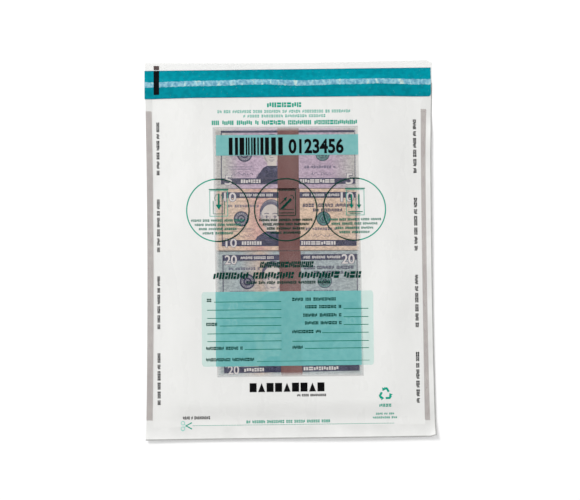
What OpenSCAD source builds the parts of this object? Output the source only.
// Clear cash deposit bag, lying on its back.
// X runs across the bag, +Y towards the closure, Z up; the origin is under the middle of the back film.

/* [Bag] */
// Width of the bag over both side seals
bag_w = 312; // [290:1:400]
// Length of the bag from the bottom seal to the edge of the lip
bag_l = 406; // [385:1:500]
// Thickness of each film
film_t = 0.1; // [0.06:0.01:0.2]
// Depth of the lip that the back film shows above the mouth
lip_h = 23; // [18:0.5:28]

/* [Seals] */
// Width of the left side seal
left_seal_w = 7.5; // [5:0.5:12]
// Width of the right side seal with its trimmed skirt
right_seal_w = 11.5; // [5:0.5:16]
// Width of the bottom seal
bottom_seal_w = 12; // [8:0.5:20]
// Flat strip of front film beside each seal
foot_w = 3; // [1:0.5:6]
// Length over which the front film rises from the bottom seal
bottom_rise = 24; // [10:1:30]

/* [Closure tape] */
// Bare lip above the tape
tape_margin = 8; // [4:0.5:12]
// Height of the whole tape
tape_h = 30; // [24:0.5:36]
// Height of the part that is bonded to the lip
bond_h = 5.5; // [3:0.5:8]
// Thickness of the tape
tape_t = 0.15; // [0.1:0.01:0.3]
// Thickness of each layer of adhesive
adhesive_t = 0.05; // [0.03:0.01:0.1]
// Thickness of the release liner
liner_t = 0.08; // [0.05:0.01:0.15]
// Distance of the adhesive from the edges of the flap
adhesive_inset = 1.5; // [1:0.25:3]
// Distance of the adhesive from the ends of the tape
end_inset = 4; // [2:0.5:10]

/* [Cash] */
// Width of a banknote
note_w = 156; // [120:1:190]
// Height of a banknote
note_h = 66.3; // [55:0.1:75]
// Thickness of a banknote
note_t = 0.11; // [0.09:0.01:0.13]
// Air between one banknote and the next
note_air = 0.005; // [0.003:0.001:0.01]
// How far a banknote may lie out of line in its packet
note_stray = 0.15; // [0:0.05:0.5]
// Banknotes in each packet
notes_per_packet = 35; // [34:1:45]
// Width of the paper band round each packet
band_w = 23; // [15:0.5:40]
// Thickness of the band
band_t = 0.12; // [0.08:0.01:0.2]
// Distance of the bands from the middle of their packets, along X
band_x = 1.2; // [-10:0.1:10]
// Distance of the cash from the middle of the bag, along Y
cash_y = -3; // [-10:0.5:10]

/* [Fits] */
// Clearance between the cash and the films
cash_clear = 0.25; // [0.2:0.05:0.5]
// Clearance between the liner and the front film
lay_clear = 0.2; // [0.1:0.05:0.4]
// Least gap between the bands of neighbouring packets
row_clear = 0.1; // [0.1:0.05:1]
// How far the middle packets can slide to each side
side_travel = 12; // [5:1:15]
// Flat room in the pouch past that travel
side_room = 12; // [2:0.5:14]

/* [Hidden] */

clear_film = "Gainsboro";
tape_teal = "#00829b";
liner_white = "WhiteSmoke";
glue_grey = "LightSlateGray";
band_brown = "#72504e";

// Tilt, sideways shift and colour of each packet, from the top one down
row_tilt = [-0.3, -0.4, 0, 0.7];
row_shift = [-1.5, -1, -0.5, 0];
row_colour = ["#b9afb9", "#d7beaf", "#aab4b4", "#a5b2ae"];

// Edges of the bag and of the pouch inside its seals
left_x = -bag_w / 2;
right_x = bag_w / 2;
bottom_y = -bag_l / 2;
top_y = bag_l / 2;
pouch_left = left_x + left_seal_w;
pouch_right = right_x - right_seal_w;
pouch_bottom = bottom_y + bottom_seal_w;
pouch_x = (pouch_left + pouch_right) / 2;
mouth_y = top_y - lip_h;

// A packet inside its band, and the room that the cash needs
note_pitch = note_t + note_air;
stack_h = notes_per_packet * note_pitch;
loop_h = note_h + 2 * note_stray;
pouch_h = stack_h + 2 * band_t + 2 * cash_clear;
flat_half = note_w / 2 + side_travel + side_room;
film_top = 2 * film_t + pouch_h;
stack_z = film_t + cash_clear + band_t;

// Gap below each packet, wide enough for both bands and for the difference in tilt, and the packets' centres
function tilt_gap(i) = (note_w / 2 + side_travel) * sin(abs(row_tilt[i + 1] - row_tilt[i]));
function row_gap(i) = tilt_gap(i) + 2 * (note_stray + band_t) + row_clear;
function row_drop(i) = i == 0 ? 0 : row_drop(i - 1) + note_h + row_gap(i - 1);
column_l = row_drop(3) + note_h;
function row_y(i) = cash_y + (column_l - note_h) / 2 - row_drop(i);

// The tape from its upper edge down, and the layers between it and the films
tape_top = top_y - tape_margin;
tape_bottom = tape_top - tape_h;
hinge_y = tape_top - bond_h;
bond_z = film_t + adhesive_t;
flap_lift = lay_clear + liner_t + adhesive_t;
crest_y = mouth_y + lay_clear * 6;
below = 1;

// Height of the front film's upper face across the bag, raised by `lift`
function across(lift) = [
    [left_x, 2 * film_t + lift],
    [pouch_left + foot_w, 2 * film_t + lift],
    [pouch_x - flat_half, film_top + lift],
    [pouch_x + flat_half, film_top + lift],
    [pouch_right - foot_w, 2 * film_t + lift],
    [right_x, 2 * film_t + lift]
];

// Everything under that line, down to `floor_z`, between two distances along Y
module under_across(lift, floor_z, y0, y1) {
    translate([0, y1, 0])
        rotate([90, 0, 0])
            linear_extrude(y1 - y0)
                polygon(concat(across(lift), [[right_x, floor_z], [left_x, floor_z]]));
}

// A side outline, as [y, z] points, drawn across the bag from x0 to x1
module side_outline(points, x0, x1) {
    translate([x0, 0, 0])
        rotate([90, 0, 90])
            linear_extrude(x1 - x0)
                polygon(points);
}

module block(x0, x1, y0, y1, z0, z1) {
    translate([x0, y0, z0])
        cube([x1 - x0, y1 - y0, z1 - z0]);
}

// A thin strip that lies along the front film's shape, between two lifts above it
module draped_strip(x0, x1, y0, y1, lift, thick) {
    intersection() {
        difference() {
            under_across(lift + thick, -below, y0, y1);
            under_across(lift, -2 * below, y0 - below, y1 + below);
        }
        block(x0, x1, y0, y1, -below, film_top + 2 * below);
    }
}

module back_film() {
    color(clear_film, 0.5) {
        union() {
            block(pouch_left, pouch_right, pouch_bottom, top_y, 0, film_t);
            block(left_x, right_x, mouth_y, top_y, 0, film_t);
        }
    }
}

// The front film lies on the back film round its edge and rises over the cash; its upper end is the mouth
module front_film() {
    color(clear_film, 0.4)
        difference() {
            intersection() {
                under_across(0, film_t, pouch_bottom, mouth_y);
                side_outline([
                    [pouch_bottom, film_t],
                    [pouch_bottom, 2 * film_t],
                    [pouch_bottom + foot_w, 2 * film_t],
                    [pouch_bottom + foot_w + bottom_rise, film_top],
                    [mouth_y, film_top],
                    [mouth_y, film_t]
                ], pouch_left, pouch_right);
            }
            intersection() {
                under_across(-film_t, film_t - below, pouch_bottom + foot_w, mouth_y + below);
                side_outline([
                    [pouch_bottom + foot_w, film_t],
                    [pouch_bottom + foot_w + bottom_rise, film_top - film_t],
                    [mouth_y + below, film_top - film_t],
                    [mouth_y + below, film_t]
                ], pouch_left + foot_w, pouch_right - foot_w);
            }
        }
}

// The two films are welded into one band along each side and along the bottom
module left_side_seal() {
    color(clear_film)
        block(left_x, pouch_left, bottom_y, mouth_y, 0, 2 * film_t);
}

module right_side_seal() {
    color(clear_film)
        block(pouch_right, right_x, bottom_y, mouth_y, 0, 2 * film_t);
}

module bottom_seal() {
    color(clear_film)
        block(pouch_left, pouch_right, bottom_y, pouch_bottom, 0, 2 * film_t);
}

module tape_anchor() {
    color(tape_teal)
        block(left_x, right_x, hinge_y, tape_top, bond_z, bond_z + tape_t);
}

module anchor_adhesive() {
    color(glue_grey)
        block(left_x, right_x, hinge_y, tape_top, film_t, bond_z);
}

// From its fold at the anchor the flap climbs over the mouth and covers the front film's edge
module closure_flap() {
    flap_z = film_top + flap_lift;
    color(tape_teal)
        difference() {
            intersection() {
                under_across(flap_lift + tape_t, 0, tape_bottom, hinge_y);
                side_outline([
                    [hinge_y, 0],
                    [hinge_y, bond_z + tape_t],
                    [crest_y, flap_z + tape_t],
                    [tape_bottom, flap_z + tape_t],
                    [tape_bottom, 0]
                ], left_x, right_x);
            }
            intersection() {
                under_across(flap_lift, -below, tape_bottom - below, hinge_y + below);
                side_outline([
                    [hinge_y, -below],
                    [hinge_y, bond_z],
                    [crest_y, flap_z],
                    [tape_bottom - below, flap_z],
                    [tape_bottom - below, -below]
                ], left_x - below, right_x + below);
            }
        }
}

module flap_adhesive() {
    color(glue_grey)
        draped_strip(left_x + end_inset, right_x - end_inset, tape_bottom + adhesive_inset,
            mouth_y - adhesive_inset, lay_clear + liner_t, adhesive_t);
}

module release_liner() {
    color(liner_white)
        draped_strip(left_x + end_inset / 2, right_x - end_inset / 2, tape_bottom + adhesive_inset / 2,
            mouth_y - adhesive_inset / 2, lay_clear, liner_t);
}

// Moves a packet's piece from the middle of the packet's underside to its place in the column
module in_row(i) {
    translate([row_shift[i], row_y(i), stack_z])
        rotate([0, 0, row_tilt[i]])
            children();
}

// Loose banknotes on each other, each a little out of line in its own direction
module packet(i) {
    color(row_colour[i])
        in_row(i)
            for (k = [0:notes_per_packet - 1]) {
                stray_x = note_stray * sin(137 * k + 60 * i);
                stray_y = note_stray * cos(101 * k + 40 * i);
                translate([stray_x - note_w / 2, stray_y - note_h / 2, k * note_pitch])
                    cube([note_w, note_h, note_t]);
            }
}

// The paper band runs the short way round its packet
module band(i) {
    color(band_brown)
        in_row(i)
            translate([band_x - band_w / 2, 0, 0])
                difference() {
                    translate([0, -loop_h / 2 - band_t, -band_t])
                        cube([band_w, loop_h + 2 * band_t, stack_h + 2 * band_t]);
                    translate([-below, -loop_h / 2, 0])
                        cube([band_w + 2 * below, loop_h, stack_h]);
                }
}

module fives_packet() {
    packet(0);
}

module tens_packet() {
    packet(1);
}

module upper_twenties_packet() {
    packet(2);
}

module lower_twenties_packet() {
    packet(3);
}

module fives_band() {
    band(0);
}

module tens_band() {
    band(1);
}

module upper_twenties_band() {
    band(2);
}

module lower_twenties_band() {
    band(3);
}

back_film();
front_film();
left_side_seal();
right_side_seal();
bottom_seal();
tape_anchor();
anchor_adhesive();
closure_flap();
flap_adhesive();
release_liner();
fives_packet();
tens_packet();
upper_twenties_packet();
lower_twenties_packet();
fives_band();
tens_band();
upper_twenties_band();
lower_twenties_band();
